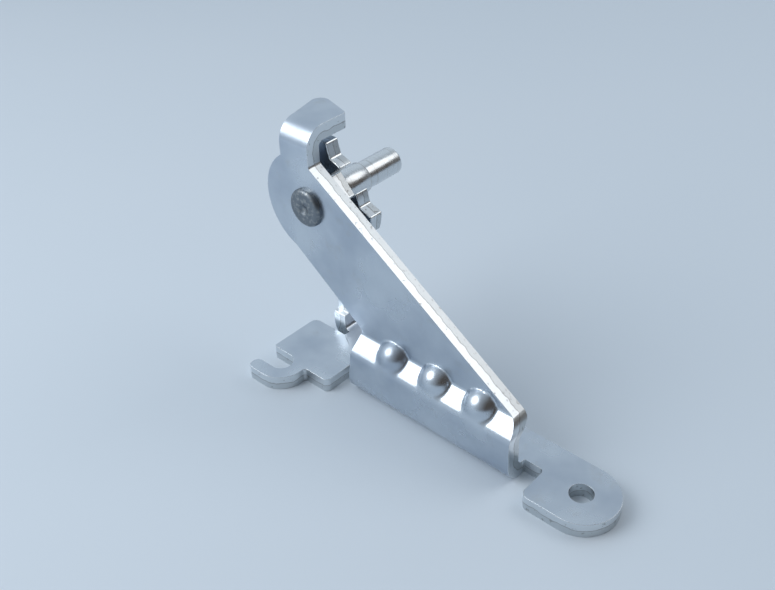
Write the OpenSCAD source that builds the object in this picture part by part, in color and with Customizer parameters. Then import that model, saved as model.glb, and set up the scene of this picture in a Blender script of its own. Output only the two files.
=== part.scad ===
// Fridge door hinge bracket, zinc plated steel.
// A base strip lies flat and carries a round screw tab and an open hook tab.
// Between them the sheet turns up into a panel, steps back over three pressed
// ribs and rises as a slanted arm. A riveted pin with a stop plate sits in the
// head of the arm, and the top of the arm curls over the stop plate.
// X runs along the fold to the screw tab, Y runs back along the pin, Z is up.
// The origin is the screw hole axis at the underside of the base.

/* [Sheet] */
// Sheet thickness
sheet_t = 4; // [3.2:0.1:4.6]
// Inside radius of the two square bends
bend_r = 1.5; // [1:0.1:2]

/* [Base strip] */
// Width of the strip, also the diameter of the round tab end
strip_w = 18.2; // [17.6:0.1:20]
// Screw hole in the round tab
screw_d = 5.8; // [4.5:0.1:7]
// Screw hole axis to the straight left side of the round tab
tab_l = 10.3; // [8:0.1:12]
// Relief cut between round tab and panel
relief_w = 5.4; // [3:0.1:6]
// Depth of both relief cuts past the bend line
relief_d = 0.9; // [0.5:0.1:1.5]

/* [Hook tab] */
// Length of the hook tab along the strip
hook_l = 21; // [20:0.5:24]
// Relief cut between panel and hook tab
hook_relief_w = 2.7; // [2:0.1:4]
// Width of the open slot in the hook
slot_w = 6.2; // [5:0.1:7]
// Length of the straight part of the slot
slot_l = 6.2; // [4:0.1:7]
// Wall of the hook around the slot
hook_wall = 3.7; // [3:0.1:4.5]
// Slot axis in front of the strip axis
slot_y = 11.8; // [11:0.1:13]
// Near edge of the hook tab in front of the strip axis
hook_near = 10; // [9:0.1:10.5]
// Far edge of the hook tab behind the strip axis
hook_far = 6.8; // [5:0.1:8]

/* [Rear foot] */
// Outside of the upturned lug from the left end of the hook tab
lug_off = 5.7; // [4:0.1:8]
// Width of the flat foot beside the lug
foot_w = 14; // [8:0.5:20]
// Reach of the foot behind the far edge of the strip
foot_reach = 7; // [5:0.5:9]
// Height of the upturned lug
lug_h = 13.5; // [10.5:0.5:16]
// Height of the low front step of the lug
lug_step_h = 8.4; // [7:0.1:9.5]
// Depth of the low front step of the lug
lug_step_d = 1.6; // [1:0.1:3]

/* [Panel] */
// Length of the panel along its foot
panel_l = 51.6; // [49:0.1:54]
// Height at which the step over the panel begins
panel_h = 12.4; // [11.5:0.1:14]
// Setback of the arm behind the panel
step_d = 4; // [3.5:0.1:4.5]
// Outer radius of the step
step_out_r = 3; // [2.5:0.1:3.2]
// Inner radius of the step
step_in_r = 1.5; // [1:0.1:2]

/* [Pressed ribs] */
// Number of ribs pressed over the step
rib_count = 3; // [1:1:3]
// Spacing of the ribs
rib_pitch = 13.3; // [11:0.1:14]
// Radius of the rounded rib
rib_r = 4.4; // [4:0.1:5]
// Middle rib axis from the right end of the panel
rib_mid = 24.4; // [22:0.1:27]

/* [Arm] */
// Pin axis past the left end of the panel
pin_off = 13.3; // [11:0.1:16]
// Height of the pin axis
pin_z = 48; // [45:0.1:50]
// Radius of the arm head round the pin
head_r = 14; // [13.7:0.1:15]
// Upper edge of the arm from the pin axis
top_off = 9.6; // [9:0.1:11]
// Lower edge of the arm from the pin axis
low_off = 13.5; // [12.4:0.1:13.6]
// Height of the arm's upper edge at the right end of the panel
arm_end_h = 16.1; // [14:0.1:18]
// Height of the arm's lower edge at the left end of the panel
arm_root_h = 18.9; // [17.5:0.1:21]

/* [Curled flange] */
// Gap between the stop lugs and the curled flange
flange_gap = 1.1; // [0.6:0.1:3]
// Width of the neck under the flange
neck_w = 9.3; // [8:0.1:10]
// Right side of the neck from the pin axis
neck_off = 1.2; // [0:0.1:2]
// Reach of the flange on its right side, from the front face of the arm
flange_l = 13.4; // [12:0.1:15]

/* [Pin] */
// Pin diameter
pin_d = 7.2; // [6.8:0.1:8]
// Free length of the pin behind the collar
pin_l = 11.7; // [9:0.1:14]
// Height of the collar over the pin
collar_over = 0.4; // [0.3:0.1:1.4]
// Collar length
collar_l = 8.6; // [7:0.1:10]
// Neck of the pin through arm, spacer and stop plate
neck_d = 6; // [5:0.1:6.4]
// Diameter of the riveted head
rivet_d = 9.9; // [9:0.1:12]
// Height of the riveted head
rivet_h = 1.6; // [1.2:0.1:2.2]

/* [Stop plate] */
// Stop plate thickness
stop_t = 4; // [3:0.1:4.5]
// Radius of the stop plate
stop_r = 11.5; // [11:0.1:12.5]
// Radius over its two lugs
stop_lug_r = 15.1; // [14:0.1:15.4]
// Width of a lug at its tip
stop_lug_w = 5; // [4:0.1:6]
// Angle from the slot to the middle of a lug
stop_lug_turn = 52; // [48:1:56]
// Width of the deep slot between the lugs
stop_slot_w = 6.8; // [5:0.1:8]
// Slot floor from the pin axis
stop_slot_floor = 5.6; // [5.2:0.1:6.5]
// Direction of the slot above the X axis
stop_turn = 42; // [36:1:48]
// Thickness of the spacer between arm and stop plate
spacer_t = 2; // [1:0.1:3]
// Diameter of the spacer
spacer_d = 12; // [10:0.1:14]

/* [Show] */
// Piece to show

/* [Hidden] */
$fn = 96;
fit_gap = 0.05;
zinc = [0.76, 0.79, 0.82];
zinc_dark = [0.66, 0.68, 0.7];

// planes of panel and arm
half_w = strip_w / 2;
out_r = bend_r + sheet_t;
panel_y = 3.1 - half_w;
panel_back = panel_y + sheet_t;
arm_y = panel_y + step_d;
arm_back = arm_y + sheet_t;
panel_right = -tab_l - relief_w;
panel_left = panel_right - panel_l;
bend_line = panel_y + out_r;
relief_y = bend_line + relief_d;

// hook tab and rear foot
hook_right = panel_left - hook_relief_w;
hook_left = hook_right - hook_l;
slot_x = hook_left + slot_l;
hook_r = slot_w / 2 + hook_wall;
finger_r = 0.45 * hook_wall;
lug_in_r = 1;
lug_out_r = lug_in_r + sheet_t;
lug_x = hook_left + lug_off;
lug_y = hook_far + 1.9;
foot_x = lug_x + lug_out_r;
foot_back = half_w + foot_reach;

// step between panel and arm
step_a = 45;
step_web = 0.95 * sheet_t;
step_z = panel_h + step_out_r * tan(step_a / 2);
step_back_z = step_z + sheet_t / tan(step_a) - step_web / sin(step_a);
step_rise = step_d / tan(step_a);
rib_z = panel_h + 3.5;
rib_in_r = rib_r - 1.2;

// arm outline: both long edges pass the pin axis at their own distance
pin_x = pin_off - panel_left;
top_z = pin_z + stop_lug_r + flange_gap + sheet_t;
foot_left = panel_left + 0.9;
corner_x = foot_left + 2;
end_x = panel_right - 0.3;
end_at = [end_x + pin_x, arm_end_h - pin_z];
root_at = [corner_x + pin_x, arm_root_h - pin_z];
top_slope = asin(top_off / norm(end_at)) - atan2(end_at.y, end_at.x);
low_slope = -asin(low_off / norm(root_at)) - atan2(root_at.y, root_at.x);
neck_right = neck_off - pin_x;
neck_left = neck_right - neck_w;
function top_edge(x) = pin_z + top_off / cos(top_slope) - tan(top_slope) * (x + pin_x);
function low_edge(x) = pin_z - low_off / cos(low_slope) - tan(low_slope) * (x + pin_x);

// curled flange, wider to its slanted end
flare = tan(13.6);
skew = tan(16.8);
flange_y = arm_y + out_r;
flange_right = arm_y + flange_l;
flange_left = (flange_right + skew * (neck_w - flare * flange_y)) / (1 - skew * flare);

// stack on the pin
spacer_y = arm_back;
stop_y = spacer_y + spacer_t;
collar_y = stop_y + stop_t;
pin_y = collar_y + collar_l;

function unit(v) = v / norm(v);
function flat(p) = [p.x, p.y];

// Wedge that rounds one corner: the corner kite less a disc that just passes both sides.
module corner_wedge(corner, n1, n2, r) {
    over = 0.5;
    bite = 0.01;
    spread = (n1 + n2) / (1 + n1 * n2);
    translate(corner - (r - bite) * spread) difference() {
        polygon([[0, 0], (r + over) * n1, (r + over) * spread, (r + over) * n2]);
        circle(r = r);
    }
}

// Wedges for the corners that turn the given way, left turns are 1 and right turns are -1.
module wedges(points, way) {
    count = len(points);
    for (i = [0:count - 1]) {
        p = flat(points[i]);
        before = unit(p - flat(points[(i + count - 1) % count]));
        after = unit(flat(points[(i + 1) % count]) - p);
        turn = sign(before.x * after.y - before.y * after.x);
        if (points[i].z > 0 && turn == way) {
            corner_wedge(p, way * [before.y, -before.x], way * [after.y, -after.x], points[i].z);
        }
    }
}

// Closed outline through points [x, y, corner radius], listed anticlockwise.
module rounded_outline(points) {
    difference() {
        union() {
            polygon([for (p = points) flat(p)]);
            wedges(points, -1);
        }
        wedges(points, 1);
    }
}

// Stands a drawing up as X, Z and gives it depth from y0 back to y1.
module upright(y0, y1) {
    translate([0, y1, 0]) rotate([90, 0, 0]) linear_extrude(y1 - y0) children();
}

// Stands a drawing up as Y, Z and gives it length from x0 to x1.
module sideways(x0, x1) {
    translate([x0, 0, 0]) rotate([90, 0, 90]) linear_extrude(x1 - x0) children();
}

// Flat outline of hook tab, strip, round tab and rear foot.
module base_outline() {
    slot_far = slot_w / 2 - slot_y;
    slot_near = -slot_w / 2 - slot_y;
    hook_front = -slot_y - hook_r;
    difference() {
        union() {
            rounded_outline([
                [hook_left + 0.4, hook_front, finger_r],
                [slot_x + hook_r, hook_front, hook_r],
                [slot_x + hook_r, -hook_near, 1],
                [hook_right, -hook_near, 1.5],
                [hook_right, relief_y, 0.8],
                [panel_left, relief_y, 0],
                [panel_left, bend_line, 0],
                [panel_right, bend_line, 0],
                [panel_right, relief_y, 0],
                [-tab_l, relief_y, 1.2],
                [-tab_l, -half_w, 2],
                [0, -half_w, 0],
                [0, half_w, 0],
                [foot_x + foot_w, half_w, 1],
                [foot_x + foot_w, foot_back, 4],
                [foot_x, foot_back, 0],
                [foot_x, lug_y, 0],
                [foot_x + 0.6, lug_y, 0.4],
                [foot_x + 0.6, hook_far, 0.4],
                [hook_left, hook_far, 2],
                [hook_left, slot_far, 0.8],
                [slot_x, slot_far, 0],
                [slot_x, slot_near, 0],
                [hook_left + 0.4, slot_near, finger_r]
            ]);
            circle(r = half_w);
        }
        circle(d = screw_d);
        translate([slot_x, -slot_y]) circle(d = slot_w);
    }
}

// Lug bent up from the rear foot, with a low step at its front.
module lug() {
    intersection() {
        upright(lug_y, foot_back) rounded_outline([
            [lug_x, 0, lug_out_r],
            [foot_x, 0, 0],
            [foot_x, sheet_t, 0],
            [lug_x + sheet_t, sheet_t, lug_in_r],
            [lug_x + sheet_t, lug_h, 0],
            [lug_x, lug_h, 0]
        ]);
        sideways(lug_x - 1, foot_x + 1) rounded_outline([
            [lug_y, -1, 0],
            [foot_back, -1, 0],
            [foot_back, lug_h, 2],
            [lug_y + lug_step_d, lug_h, 1],
            [lug_y + lug_step_d, lug_step_h, 0.5],
            [lug_y, lug_step_h, 0.6]
        ]);
    }
}

// Section of the folded sheet: foot bend, panel, step, arm and top bend.
module upright_section() {
    rounded_outline([
        [panel_y, 0, out_r],
        [bend_line, 0, 0],
        [bend_line, sheet_t, 0],
        [panel_back, sheet_t, bend_r],
        [panel_back, step_back_z, step_in_r],
        [arm_back, step_back_z + step_rise, step_out_r],
        [arm_back, top_z - sheet_t, bend_r],
        [flange_y, top_z - sheet_t, 0],
        [flange_y, top_z, 0],
        [arm_y, top_z, out_r],
        [arm_y, step_z + step_rise, step_in_r],
        [panel_y, step_z, step_out_r]
    ]);
}

// Front outline of panel, slanted arm, round head and neck.
module upright_outline() {
    rounded_outline([
        [foot_left, 0, 0],
        [panel_right, 0, 0],
        [end_x, 10, 0],
        [end_x, top_edge(end_x), 5],
        [neck_right, top_edge(neck_right), 1.5],
        [neck_right, top_z, 0],
        [neck_left, top_z, 0],
        [neck_left, pin_z, 0],
        [-pin_x - 6, low_edge(-pin_x - 6), 0],
        [corner_x, low_edge(corner_x), 2]
    ]);
    // round head, cut off just under the upper edge
    lap = 0.02;
    translate([-pin_x, pin_z]) difference() {
        circle(r = head_r);
        rotate(-top_slope) translate([-2 * head_r, top_off - lap]) square([4 * head_r, head_r]);
    }
}

// Flat part of the curled flange.
module flange_outline() {
    rounded_outline([
        [neck_left, flange_y, 0],
        [neck_right, flange_y, 0],
        [neck_right, flange_right, 0.9],
        [neck_left - flare * (flange_left - flange_y), flange_left, 2.6]
    ]);
}

// One child at each rib axis.
module at_ribs() {
    for (i = [0:rib_count - 1]) {
        translate([panel_right - rib_mid + (i - (rib_count - 1) / 2) * rib_pitch, 0, 0]) children();
    }
}

// Rounded front of one rib, sunk a little behind the panel face.
module rib() {
    translate([0, panel_y + rib_r + 0.05, panel_h - 1]) {
        cylinder(r = rib_r, h = rib_z - panel_h + 1);
        translate([0, 0, rib_z - panel_h + 1]) sphere(r = rib_r);
    }
}

// One folded sheet: base strip, both tabs, panel, step, arm and curled flange.
module bracket() {
    color(zinc) difference() {
        union() {
            linear_extrude(sheet_t) base_outline();
            lug();
            intersection() {
                sideways(-pin_x - head_r - 1, panel_right + 1) upright_section();
                upright(panel_y - 1, flange_y) upright_outline();
            }
            translate([0, 0, top_z - sheet_t]) linear_extrude(sheet_t) flange_outline();
            difference() {
                at_ribs() rib();
                translate([panel_left, arm_y + sheet_t / 2, 0]) cube([panel_l, sheet_t + rib_r, 3 * panel_h]);
            }
        }
        // dished backs of the ribs
        at_ribs() translate([0, arm_back - 0.4, rib_z - 0.9]) sphere(r = rib_in_r);
        // rivet hole
        translate([-pin_x, arm_y - 5, pin_z]) rotate([-90, 0, 0])
            cylinder(d = neck_d + 2 * fit_gap, h = sheet_t + 10);
    }
}

// Turned pin: riveted head with a cone mark, neck, collar and plain end.
module pin() {
    head_y = arm_y - rivet_h;
    rivet_r = rivet_d / 2;
    collar_r = pin_d / 2 + collar_over;
    end_y = pin_y + pin_l;
    color(zinc_dark) translate([-pin_x, 0, pin_z]) rotate([-90, 0, 0]) rotate_extrude() polygon([
        [0, head_y + 0.9],
        [1.5, head_y + 0.1],
        [1.9, head_y],
        [rivet_r - 1.1, head_y + 0.1],
        [rivet_r - 0.35, head_y + 0.45],
        [rivet_r, head_y + 1],
        [rivet_r, arm_y],
        [neck_d / 2, arm_y],
        [neck_d / 2, collar_y],
        [collar_r - 0.2, collar_y],
        [collar_r, collar_y + 0.2],
        [collar_r, pin_y - 0.2],
        [collar_r - 0.2, pin_y],
        [pin_d / 2, pin_y],
        [pin_d / 2, end_y - 0.5],
        [pin_d / 2 - 0.5, end_y],
        [0, end_y]
    ]);
}

// Plate with two tapered stop lugs and a deep slot between them, drawn with the slot along X.
module stop_plate_outline() {
    taper = tan(11.5);
    root = stop_slot_floor;
    tip = stop_lug_r + 2;
    root_w = stop_lug_w / 2 + taper * (stop_lug_r - root);
    tip_w = stop_lug_w / 2 - taper * 2;
    difference() {
        union() {
            circle(r = stop_r);
            for (side = [-1, 1]) {
                rotate(side * stop_lug_turn) intersection() {
                    circle(r = stop_lug_r);
                    polygon([[root, -root_w], [tip, -tip_w], [tip, tip_w], [root, root_w]]);
                }
            }
        }
        circle(d = neck_d + 2 * fit_gap);
        translate([stop_slot_floor, -stop_slot_w / 2]) square([stop_r, stop_slot_w]);
    }
}

// Stop plate held on the pin between spacer and collar.
module stop_plate() {
    color(zinc) translate([-pin_x, 0, pin_z]) upright(stop_y, stop_y + stop_t)
        rotate(stop_turn) stop_plate_outline();
}

// Plain ring that keeps the stop plate clear of the arm.
module spacer() {
    color(zinc_dark) translate([-pin_x, 0, pin_z]) upright(spacer_y, spacer_y + spacer_t) difference() {
        circle(d = spacer_d);
        circle(d = neck_d + 2 * fit_gap);
    }
}

bracket();
pin();
stop_plate();
spacer();
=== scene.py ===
import math

import bmesh
import bpy
from mathutils import Matrix, Vector


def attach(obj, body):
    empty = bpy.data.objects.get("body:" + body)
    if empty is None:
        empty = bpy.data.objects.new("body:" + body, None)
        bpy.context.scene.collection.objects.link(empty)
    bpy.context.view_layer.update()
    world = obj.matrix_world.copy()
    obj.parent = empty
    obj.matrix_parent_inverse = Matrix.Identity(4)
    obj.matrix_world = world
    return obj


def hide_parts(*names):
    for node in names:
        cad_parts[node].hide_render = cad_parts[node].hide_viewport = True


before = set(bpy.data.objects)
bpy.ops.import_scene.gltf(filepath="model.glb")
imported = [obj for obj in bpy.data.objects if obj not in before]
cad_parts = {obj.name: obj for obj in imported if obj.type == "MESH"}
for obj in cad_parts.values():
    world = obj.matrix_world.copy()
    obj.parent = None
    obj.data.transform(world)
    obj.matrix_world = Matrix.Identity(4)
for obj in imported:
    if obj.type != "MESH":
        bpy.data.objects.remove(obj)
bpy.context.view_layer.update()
mm = 0.001

# Bracket. One piece of 4 mm steel sheet, blanked, folded and pressed, then
# plated with bright zinc. The rolled faces stay smooth, the sheared edges are
# streaked across the thickness, and the rounded corners are coloured lighter
# as a painted highlight, broken by dull knocked gaps.
sheet_t = 4.0
outer_bend = 5.5
fold_ends = (-67.4, -15.6)
fold_axis = (-0.5, 5.5)
curl_axis = (3.5, 62.7)
flange_top = 68.2
lug_left, lug_front = -85.3, 8.0
rib_field = (-60.0, -22.0)
rib_axes = (-53.4, -40.1, -26.8)
rib_r, rib_y, rib_top, rib_fillet = 4.4, -1.55, 15.9, 1.8


def pressed_copy(source, name, edge_radius, is_cut, depth, keep_crisp=None, reshape=None):
    """Copies a CAD node, rounds its crisp edges and sorts its faces.

    Material 0 is the rolled face, 1 the sheared edge and 2 the rounded corner.
    The UV map holds the way along an edge in metres and the depth in the sheet.
    """
    bm = bmesh.new()
    bm.from_mesh(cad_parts[source].data)
    bmesh.ops.remove_doubles(bm, verts=bm.verts, dist=0.002 * mm)
    bmesh.ops.dissolve_limit(
        bm, angle_limit=math.radians(0.2), verts=bm.verts, edges=bm.edges,
        use_dissolve_boundaries=False, delimit={"NORMAL"},
    )
    bm.normal_update()
    crisp = [
        edge for edge in bm.edges
        if len(edge.link_faces) == 2
        and edge.calc_face_angle(0) > math.radians(32)
        and not (keep_crisp and keep_crisp((edge.verts[0].co + edge.verts[1].co) / 2))
    ]
    rounded = bmesh.ops.bevel(
        bm, geom=crisp, offset=edge_radius, offset_type="OFFSET", affect="EDGES",
        segments=3, profile=0.5, material=-1, clamp_overlap=True,
    )["faces"]
    for face in bm.faces:
        face.material_index = 0
    for face in rounded:
        face.material_index = 2
    bm.normal_update()
    if reshape:
        reshape(bm)
    shear = bm.loops.layers.uv.new("shear")
    axes = [Vector(axis) * mm for axis in ((1, 0, 0), (0, 1, 0), (0, 0, 1))]
    for face in bm.faces:
        middle = face.calc_center_median()
        face.smooth = True
        if face.material_index == 0:
            face.material_index = int(is_cut(middle, face.normal))
        across = Vector([depth(middle + axis) - depth(middle - axis) for axis in axes])
        along = face.normal.cross(across).normalized()
        start = face.normal.dot(Vector((3, 5, 7))) * mm
        for loop in face.loops:
            loop[shear].uv = (loop.vert.co.dot(along) + start, depth(loop.vert.co))
    for edge in bm.edges:
        edge.smooth = len(edge.link_faces) == 2 and edge.calc_face_angle(0) < math.radians(50)
    mesh = bpy.data.meshes.new(name)
    bm.to_mesh(mesh)
    bm.free()
    piece = bpy.data.objects.new(name, mesh)
    bpy.context.scene.collection.objects.link(piece)
    weighted = piece.modifiers.new("flat_faces_stay_flat", "WEIGHTED_NORMAL")
    weighted.keep_sharp = True
    return piece


def near_ribs(point):
    x, _, z = point / mm
    return rib_field[0] < x < rib_field[1] and 9 < z < 21


def front_of_step(z):
    """Front face of the sheet at a height, in mm: panel, step and arm."""
    if z < 12.4:
        return -6.0
    if z < 14.521:
        return -3 - math.sqrt(9 - (z - 12.4) ** 2)
    if z < 17.204:
        return z - 19.643
    if z < 18.264:
        return -3.5 + math.sqrt(2.25 - (z - 18.264) ** 2)
    return -2.0


def front_of_ribs(x, z):
    """Front face of the nearest rib, falling steeply away outside it."""
    out = min(abs(x - rib_x) for rib_x in rib_axes)
    reach = math.hypot(out, max(z - rib_top, 0))
    if reach < rib_r:
        return rib_y - math.sqrt(rib_r ** 2 - reach ** 2)
    return rib_y + 3 * (reach - rib_r)


def run_ribs_into_step(bm):
    """Refines the front of the step and fills the creases round the ribs."""
    def on_front(edge):
        x, y, z = (edge.verts[0].co + edge.verts[1].co) / (2 * mm)
        return (
            rib_field[0] - 2 < x < rib_field[1] + 2 and 6.5 < z < 21.5 and y < -1.9
            and all(face.normal.y < 0.05 for face in edge.link_faces)
        )

    borders = (
        ((rib_field[0] - 2.5, 0, 0), (1, 0, 0)),
        ((rib_field[1] + 2.5, 0, 0), (1, 0, 0)),
        ((0, 0, 22), (0, 0, 1)),
    )
    for place, facing in borders:
        bmesh.ops.bisect_plane(
            bm, geom=bm.verts[:] + bm.edges[:] + bm.faces[:], dist=0.001 * mm,
            plane_co=Vector(place) * mm, plane_no=facing,
        )
    for longest in (24, 12, 6, 3, 1.5, 0.8, 0.6, 0.6):
        touched = {face for edge in bm.edges if on_front(edge) for face in edge.link_faces}
        bmesh.ops.triangulate(bm, faces=sorted(touched, key=lambda face: face.index))
        bm.normal_update()
        wide = [e for e in bm.edges if on_front(e) and e.calc_length() > longest * mm]
        bmesh.ops.subdivide_edges(bm, edges=wide, cuts=1)
        bm.normal_update()
        bm.faces.index_update()
    bmesh.ops.triangulate(bm, faces=[face for face in bm.faces if len(face.verts) > 4])
    bm.normal_update()
    for vert in bm.verts:
        x, y, z = vert.co / mm
        if not (rib_field[0] - 2 < x < rib_field[1] + 2 and 6.5 < z < 21.5 and y < -1.9):
            continue
        if vert.normal.y > 0.05:
            continue
        step, rib = front_of_step(z), front_of_ribs(x, z)
        share = min(max(0.5 + 0.5 * (step - rib) / rib_fillet, 0), 1)
        soft = step + (rib - step) * share - rib_fillet * share * (1 - share)
        fade = min(max((z - 7) / 5, 0), 1)
        if abs(soft - step) > 0.001:
            vert.co.y = (step + (soft - step) * fade * fade * (3 - 2 * fade)) * mm
    bm.normal_update()


def cut_on_bracket(point, normal):
    """Tells the sheared faces of the bracket from the rolled ones."""
    x, y, z = point / mm
    nx, ny, nz = (abs(part) for part in normal)
    if z > curl_axis[1]:
        return nz < 0.3 if y > curl_axis[0] else nx > 0.6
    if y > lug_front and x < lug_left + 6:
        return nx < 0.3 and nz < 0.9 if z < sheet_t + 1.2 else nx < 0.3
    if fold_ends[0] < x < fold_ends[1] and y < fold_axis[0] and z < outer_bend + 0.5:
        return nx > 0.9
    if z < sheet_t + 0.05:
        return nz < 0.3
    if z < outer_bend + 0.5:
        return nx > 0.9
    if rib_field[0] < x < rib_field[1] and (z < 18 or y < -2.05):
        return False
    return ny < 0.3


def depth_in_bracket(point):
    """Depth below the front or upper face, in thicknesses of the sheet."""
    x, y, z = point / mm
    if z > curl_axis[1]:
        if y > curl_axis[0]:
            return (flange_top - z) / sheet_t
        return (outer_bend - math.hypot(y - curl_axis[0], z - curl_axis[1])) / sheet_t
    if y > lug_front and z > sheet_t:
        return (x - lug_left) / sheet_t
    if fold_ends[0] < x < fold_ends[1] and y < fold_axis[0] and z < outer_bend:
        return (outer_bend - math.hypot(y - fold_axis[0], z - fold_axis[1])) / sheet_t
    if z < sheet_t + 0.05:
        return 1 - z / sheet_t
    set_back = min(max((z - 12.4) / 5.2, 0), 1) * sheet_t
    return (y + 6 - set_back) / sheet_t


bracket = pressed_copy(
    "bracket", "bracket_sheet", 0.35 * mm, cut_on_bracket, depth_in_bracket, near_ribs, run_ribs_into_step
)
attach(bracket, "root")
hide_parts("bracket")


def linear(code):
    """Turns an sRGB hex colour into the linear values that Blender works in."""
    channels = [int(code[i:i + 2], 16) / 255 for i in (1, 3, 5)]
    return tuple(c / 12.92 if c <= 0.04045 else ((c + 0.055) / 1.055) ** 2.4 for c in channels) + (1.0,)


def node(tree, kind, out=0, settings=None, **inputs):
    """Adds a shader node and gives back one output. An input _3 goes by its number."""
    made = tree.nodes.new(kind)
    for key, value in (settings or {}).items():
        setattr(made, key, value)
    for key, value in inputs.items():
        socket = made.inputs[int(key[1:])] if key[0] == "_" else made.inputs[key.replace("_", " ")]
        if isinstance(value, bpy.types.NodeSocket):
            tree.links.new(value, socket)
        else:
            socket.default_value = value
    return made.outputs[out]


def finished(name, build, **fixed):
    """Makes a material. build gets the tree and returns colour, roughness and normal."""
    material = bpy.data.materials.new(name)
    material.use_nodes = True
    tree = material.node_tree
    tree.nodes.clear()
    colour, roughness, normal = build(tree)
    shader = node(
        tree, "ShaderNodeBsdfPrincipled", Base_Color=colour, Roughness=roughness, Normal=normal, **fixed
    )
    node_out = tree.nodes.new("ShaderNodeOutputMaterial")
    tree.links.new(shader, node_out.inputs["Surface"])
    return material


# Bright zinc on the rolled face: a cool grey mirror gone slightly soft. Clouds
# of 15 mm change its tone and gloss, faint stains warm it, fine scores run
# along the arm, and a grain of 0.4 mm breaks up the reflections.
def rolled_zinc(tree):
    place = node(tree, "ShaderNodeTexCoord", out="Object")
    cloud = node(tree, "ShaderNodeTexNoise", Vector=place, Scale=65.0, Detail=3.0)
    stain = node(tree, "ShaderNodeTexNoise", Vector=place, Scale=210.0, Detail=6.0, Roughness=0.7)
    grain = node(tree, "ShaderNodeTexNoise", Vector=place, Scale=2600.0, Detail=3.0)
    along_arm = node(
        tree, "ShaderNodeMapping", settings={"vector_type": "TEXTURE"}, Vector=place,
        Rotation=(0.0, math.radians(34), 0.0), Scale=(14 * mm, 0.3 * mm, 0.3 * mm),
    )
    score = node(tree, "ShaderNodeTexNoise", Vector=along_arm, Scale=1.0, Detail=2.0)
    score = node(tree, "ShaderNodeMapRange", Value=score, From_Min=0.64, From_Max=0.74)
    tone = node(tree, "ShaderNodeMapRange", Value=cloud, From_Min=0.35, From_Max=0.65)
    colour = node(
        tree, "ShaderNodeMix", out=2, settings={"data_type": "RGBA"},
        _0=tone, _6=linear("#b3bdc9"), _7=linear("#cbd3db"),
    )
    stained = node(tree, "ShaderNodeMapRange", Value=stain, From_Min=0.56, From_Max=0.72, To_Max=0.2)
    colour = node(
        tree, "ShaderNodeMix", out=2, settings={"data_type": "RGBA"},
        _0=stained, _6=colour, _7=linear("#a9a69c"),
    )
    gloss = node(
        tree, "ShaderNodeMapRange", Value=cloud, From_Min=0.35, From_Max=0.65, To_Min=0.34, To_Max=0.24
    )
    gloss = node(tree, "ShaderNodeMath", settings={"operation": "MULTIPLY_ADD"}, _0=stained, _1=0.3, _2=gloss)
    height = node(tree, "ShaderNodeMath", settings={"operation": "MULTIPLY_ADD"}, _0=score, _1=-0.9, _2=grain)
    return colour, gloss, node(
        tree, "ShaderNodeBump", Strength=0.7, Distance=0.012 * mm, Height=height
    )


# Zinc on a sheared edge: the first half of the depth is burnished by the
# punch, the second half is torn and duller. A dark line parts the two, with
# streaks 0.5 mm wide across the thickness and a few dark pits.
def sheared_zinc(tree):
    place = node(tree, "ShaderNodeTexCoord", out="Object")
    shear = node(tree, "ShaderNodeUVMap", settings={"uv_map": "shear"})
    depth = node(tree, "ShaderNodeSeparateXYZ", out=1, Vector=shear)
    wander = node(tree, "ShaderNodeTexNoise", Vector=place, Scale=350.0, Detail=3.0)
    edge = node(tree, "ShaderNodeMath", settings={"operation": "MULTIPLY_ADD"}, _0=wander, _1=0.35, _2=depth)
    torn = node(tree, "ShaderNodeMapRange", Value=edge, From_Min=0.68, From_Max=0.76)
    line = node(tree, "ShaderNodeMath", settings={"operation": "COMPARE"}, _0=edge, _1=0.7, _2=0.03)
    stretched = node(
        tree, "ShaderNodeMapping", settings={"vector_type": "TEXTURE"}, Vector=shear,
        Scale=(0.5 * mm, 0.9, 1.0),
    )
    streak = node(tree, "ShaderNodeTexNoise", Vector=stretched, Scale=1.0, Detail=4.0, Roughness=0.6)
    pit = node(tree, "ShaderNodeTexNoise", Vector=place, Scale=900.0, Detail=3.0)
    pit = node(tree, "ShaderNodeMapRange", Value=pit, From_Min=0.63, From_Max=0.7)
    colour = node(
        tree, "ShaderNodeMix", out=2, settings={"data_type": "RGBA"},
        _0=torn, _6=linear("#dce1e5"), _7=linear("#cdd2d5"),
    )
    dark = node(tree, "ShaderNodeMath", settings={"operation": "MAXIMUM"}, _0=line, _1=pit)
    dark = node(tree, "ShaderNodeMath", settings={"operation": "MULTIPLY"}, _0=dark, _1=0.5)
    colour = node(
        tree, "ShaderNodeMix", out=2, settings={"data_type": "RGBA"},
        _0=dark, _6=colour, _7=linear("#6f6a63"),
    )
    gloss = node(tree, "ShaderNodeMapRange", Value=torn, To_Min=0.25, To_Max=0.33)
    gloss = node(tree, "ShaderNodeMath", settings={"operation": "MULTIPLY_ADD"}, _0=streak, _1=0.1, _2=gloss)
    height = node(tree, "ShaderNodeMath", settings={"operation": "MULTIPLY_ADD"}, _0=dark, _1=-1.0, _2=streak)
    return colour, gloss, node(
        tree, "ShaderNodeBump", Strength=0.8, Distance=0.035 * mm, Height=height
    )


# Zinc on a rounded corner: coloured brighter than the faces as a painted
# highlight, with short dull gaps where it was knocked, so each corner draws a
# broken light line.
def corner_zinc_with_painted_highlight(tree):
    place = node(tree, "ShaderNodeTexCoord", out="Object")
    knock = node(tree, "ShaderNodeTexNoise", Vector=place, Scale=480.0, Detail=5.0, Roughness=0.65)
    knocked = node(tree, "ShaderNodeMapRange", Value=knock, From_Min=0.55, From_Max=0.68)
    # The light corner colour is a painted highlight; the dull knocked gaps are wear.
    colour = node(
        tree, "ShaderNodeMix", out=2, settings={"data_type": "RGBA"},
        _0=knocked, _6=linear("#e6eaec"), _7=linear("#b0b1ae"),
    )
    gloss = node(tree, "ShaderNodeMapRange", Value=knocked, To_Min=0.26, To_Max=0.42)
    return colour, gloss, node(
        tree, "ShaderNodeBump", Strength=0.7, Distance=0.03 * mm, Height=knock
    )


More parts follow.
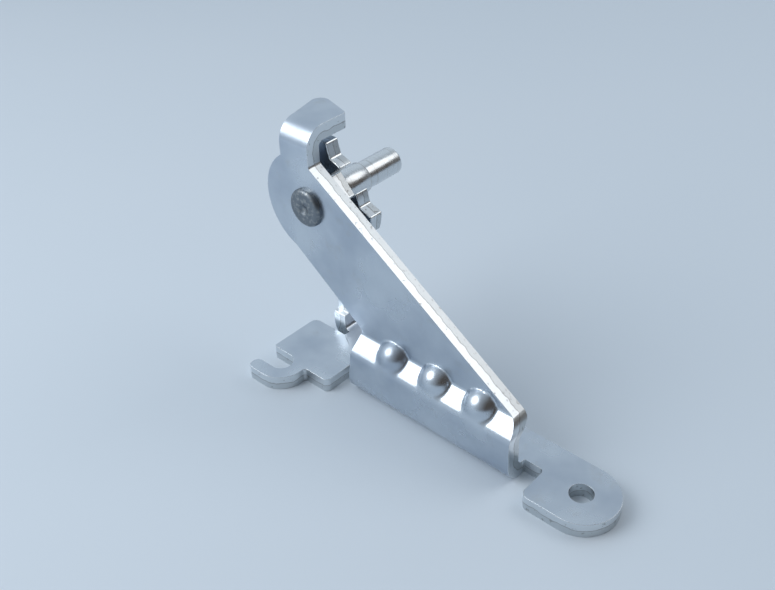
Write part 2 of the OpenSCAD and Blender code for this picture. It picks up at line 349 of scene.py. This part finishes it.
sheet_finish = [
    finished("bright_zinc_on_rolled_sheet", rolled_zinc, Metallic=1.0),
    finished("zinc_on_sheared_edge", sheared_zinc, Metallic=1.0),
    finished("zinc_corners_with_painted_highlight", corner_zinc_with_painted_highlight, Metallic=1.0),
]
for finish in sheet_finish:
    bracket.data.materials.append(finish)

# Stop plate. Blanked from the same 4 mm sheet, with two lugs that stop the
# door, and held on the pin between spacer and collar.
stop_front = 4.0
stop = pressed_copy(
    "stop_plate", "stop_plate_steel", 0.35 * mm,
    lambda point, normal: abs(normal.y) < 0.3,
    lambda point: (point.y / mm - stop_front) / sheet_t,
)
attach(stop, "root")
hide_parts("stop_plate")
for finish in sheet_finish:
    stop.data.materials.append(finish)

# Hinge pin. Turned from steel bar and plated, with fine rings left by the
# lathe. Its front end is peened over the arm into a dull riveted head with a
# cone mark, and the collar behind the stop plate holds the stack together.
pin_x, pin_z = -80.6, 48.0
arm_face = -2.0
pin_profile = [
    (0, -2.7), (0.3, -2.74), (1.45, -3.42), (1.65, -3.56), (1.9, -3.6), (2.35, -3.59),
    (2.6, -3.46), (2.9, -3.42), (3.6, -3.46), (3.9, -3.46), (4.2, -3.4), (4.5, -3.25),
    (4.75, -3.0), (4.9, -2.7), (4.95, -2.4), (4.95, arm_face), (3.0, arm_face), (3.0, 8.0),
    (3.8, 8.0), (3.94, 8.06), (4.0, 8.2), (4.0, 16.4), (3.94, 16.54), (3.8, 16.6), (3.6, 16.6),
    (3.6, 27.8), (3.55, 28.04), (3.38, 28.22), (3.1, 28.3), (0, 28.3),
]


def turned(name, profile):
    """Spins a profile of radius and station, in mm, about the axis of the pin.

    The UV map holds the turn and the way along the profile in metres.
    """
    bm = bmesh.new()
    start = [bm.verts.new(((pin_x + r) * mm, y * mm, pin_z * mm)) for r, y in profile]
    line = [bm.edges.new(pair) for pair in zip(start, start[1:])]
    bmesh.ops.spin(
        bm, geom=start + line, cent=(pin_x * mm, 0, pin_z * mm), axis=(0, 1, 0), dvec=(0, 0, 0),
        angle=math.tau, steps=96, use_merge=True, use_duplicate=False,
    )
    bmesh.ops.remove_doubles(bm, verts=bm.verts, dist=0.001 * mm)
    bmesh.ops.recalc_face_normals(bm, faces=bm.faces)
    way = {}
    length = 0.0
    last = profile[0]
    for point in profile:
        length += math.dist(last, point)
        way.setdefault((round(point[0], 2), round(point[1], 2)), length)
        last = point
    rings = bm.loops.layers.uv.new("turned")
    for face in bm.faces:
        face.smooth = True
        for loop in face.loops:
            x, y, z = loop.vert.co / mm
            reach = math.hypot(x - pin_x, z - pin_z)
            turn = math.atan2(z - pin_z, x - pin_x) / math.tau
            loop[rings].uv = (turn, way[round(reach, 2) + 0.0, round(y, 2) + 0.0] * mm)
    for edge in bm.edges:
        edge.smooth = len(edge.link_faces) == 2 and edge.calc_face_angle(0) < math.radians(50)
    mesh = bpy.data.meshes.new(name)
    bm.to_mesh(mesh)
    bm.free()
    piece = bpy.data.objects.new(name, mesh)
    bpy.context.scene.collection.objects.link(piece)
    return piece


pin = turned("hinge_pin", pin_profile)
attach(pin, "root")
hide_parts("pin")


# Zinc over turned steel: rings 0.2 to 0.6 mm apart catch the light as thin
# lines, some of them brown where the plating is thin.
def turned_zinc(tree):
    place = node(tree, "ShaderNodeTexCoord", out="Object")
    rings = node(tree, "ShaderNodeUVMap", settings={"uv_map": "turned"})
    station = node(tree, "ShaderNodeSeparateXYZ", out=1, Vector=rings)
    fine = node(
        tree, "ShaderNodeTexNoise", settings={"noise_dimensions": "1D"}, W=station, Scale=3200.0, Detail=3.0
    )
    broad = node(
        tree, "ShaderNodeTexNoise", settings={"noise_dimensions": "1D"}, W=station, Scale=900.0, Detail=2.0
    )
    blotch = node(tree, "ShaderNodeTexNoise", Vector=place, Scale=380.0, Detail=4.0)
    thin = node(tree, "ShaderNodeMapRange", Value=broad, From_Min=0.58, From_Max=0.74, To_Max=0.3)
    colour = node(
        tree, "ShaderNodeMix", out=2, settings={"data_type": "RGBA"},
        _0=thin, _6=linear("#d6dadd"), _7=linear("#9b9184"),
    )
    gloss = node(
        tree, "ShaderNodeMapRange", Value=blotch, From_Min=0.35, From_Max=0.65, To_Min=0.18, To_Max=0.3
    )
    height = node(tree, "ShaderNodeMath", settings={"operation": "MULTIPLY_ADD"}, _0=blotch, _1=0.3, _2=fine)
    return colour, gloss, node(
        tree, "ShaderNodeBump", Strength=0.5, Distance=0.006 * mm, Height=height
    )


# Peened steel of the riveted head: darker and matter than the plate, because
# the hammering cracked the zinc off, with small dents and a few bright rubs.
def peened_steel(tree):
    place = node(tree, "ShaderNodeTexCoord", out="Object")
    dent = node(tree, "ShaderNodeTexNoise", Vector=place, Scale=900.0, Detail=4.0)
    rub = node(tree, "ShaderNodeTexNoise", Vector=place, Scale=1300.0, Detail=5.0)
    rubbed = node(tree, "ShaderNodeMapRange", Value=rub, From_Min=0.5, From_Max=0.66)
    colour = node(
        tree, "ShaderNodeMix", out=2, settings={"data_type": "RGBA"},
        _0=rubbed, _6=linear("#787f86"), _7=linear("#989b9b"),
    )
    gloss = node(tree, "ShaderNodeMapRange", Value=rubbed, To_Min=0.42, To_Max=0.28)
    return colour, gloss, node(
        tree, "ShaderNodeBump", Strength=0.8, Distance=0.03 * mm, Height=dent
    )


lathe_finish = finished("zinc_over_turned_steel", turned_zinc, Metallic=1.0)
pin.data.materials.append(lathe_finish)
pin.data.materials.append(finished("peened_steel", peened_steel, Metallic=1.0))
for face in pin.data.polygons:
    face.material_index = int(face.center.y / mm < arm_face - 0.05)

# Spacer. A plain turned ring that keeps the stop plate clear of the arm.
spacer = turned("spacer_ring", [
    (3.05, 2.0), (5.85, 2.0), (5.96, 2.04), (6.0, 2.15), (6.0, 3.85), (5.96, 3.96), (5.85, 4.0),
    (3.05, 4.0), (3.05, 2.0),
])
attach(spacer, "root")
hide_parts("spacer")
spacer.data.materials.append(lathe_finish)

# Floor. A pale blue sheet of board under the hinge, matt, with a faint tooth.
floor_mesh = bpy.data.meshes.new("floor")
bm = bmesh.new()
bmesh.ops.create_grid(bm, x_segments=1, y_segments=1, size=3.0)
bm.to_mesh(floor_mesh)
bm.free()
floor = bpy.data.objects.new("floor", floor_mesh)
bpy.context.scene.collection.objects.link(floor)


def painted_board(tree):
    place = node(tree, "ShaderNodeTexCoord", out="Object")
    tooth = node(tree, "ShaderNodeTexNoise", Vector=place, Scale=900.0, Detail=3.0)
    tone = node(tree, "ShaderNodeTexNoise", Vector=place, Scale=6.0, Detail=2.0)
    colour = node(
        tree, "ShaderNodeMix", out=2, settings={"data_type": "RGBA"},
        _0=tone, _6=linear("#d3dfea"), _7=linear("#d9e3ed"),
    )
    gloss = node(tree, "ShaderNodeMapRange", Value=tooth, To_Min=0.7, To_Max=0.8)
    return colour, gloss, node(
        tree, "ShaderNodeBump", Strength=0.3, Distance=0.03 * mm, Height=tooth
    )


floor.data.materials.append(finished("pale_blue_board", painted_board))

# Camera, at the photograph's angle and distance.
camera = bpy.data.objects.new("camera", bpy.data.cameras.new("camera"))
bpy.context.scene.collection.objects.link(camera)
camera.data.sensor_width = 36
camera.data.lens = 46.45
camera.matrix_world = (
    Matrix.Translation((0.0736, -0.1399, 0.17234))
    @ Matrix.Rotation(math.radians(43.07), 4, "Z")
    @ Matrix.Rotation(math.radians(90 - 36.28), 4, "X")
    @ Matrix.Rotation(math.radians(-1.80), 4, "Z")
)
bpy.context.scene.camera = camera


# Light. A window to the front left fills the folds and the slope under the
# arm, and a second one behind on the right lies in the long cut edge. The room
# is pale on the left and dark on the right, as its reflections show.
def soft_light(name, direction, distance, size, power):
    lamp = bpy.data.lights.new(name, "AREA")
    lamp.shape = "DISK"
    lamp.size = size
    lamp.energy = power
    holder = bpy.data.objects.new(name, lamp)
    bpy.context.scene.collection.objects.link(holder)
    towards = Vector(direction).normalized()
    holder.location = Vector((-0.045, 0.0, 0.03)) + towards * distance
    holder.rotation_mode = "QUATERNION"
    holder.rotation_quaternion = towards.to_track_quat("Z", "Y")


soft_light("front_window", (-0.51, -0.61, 0.60), 0.6, 0.5, 1.6)
soft_light("back_window", (0.36, 0.60, 0.71), 0.7, 0.5, 0.9)
world = bpy.data.worlds.new("room")
bpy.context.scene.world = world
world.use_nodes = True
room = world.node_tree
across_room = node(room, "ShaderNodeSeparateXYZ", Vector=node(room, "ShaderNodeTexCoord", out="Generated"))
walls = node(
    room, "ShaderNodeMix", out=2, settings={"data_type": "RGBA"},
    _0=node(room, "ShaderNodeMapRange", Value=across_room, From_Min=-0.4, From_Max=0.7),
    _6=linear("#d3e0ec"), _7=linear("#57504a"),
)
seen = node(
    room, "ShaderNodeMix", out=2, settings={"data_type": "RGBA"},
    _0=node(room, "ShaderNodeLightPath", out="Is Camera Ray"), _6=walls, _7=linear("#dfe6ec"),
)
background = room.nodes["Background"]
room.links.new(seen, background.inputs["Color"])
background.inputs["Strength"].default_value = 0.95
bpy.context.scene.view_settings.view_transform = "Standard"
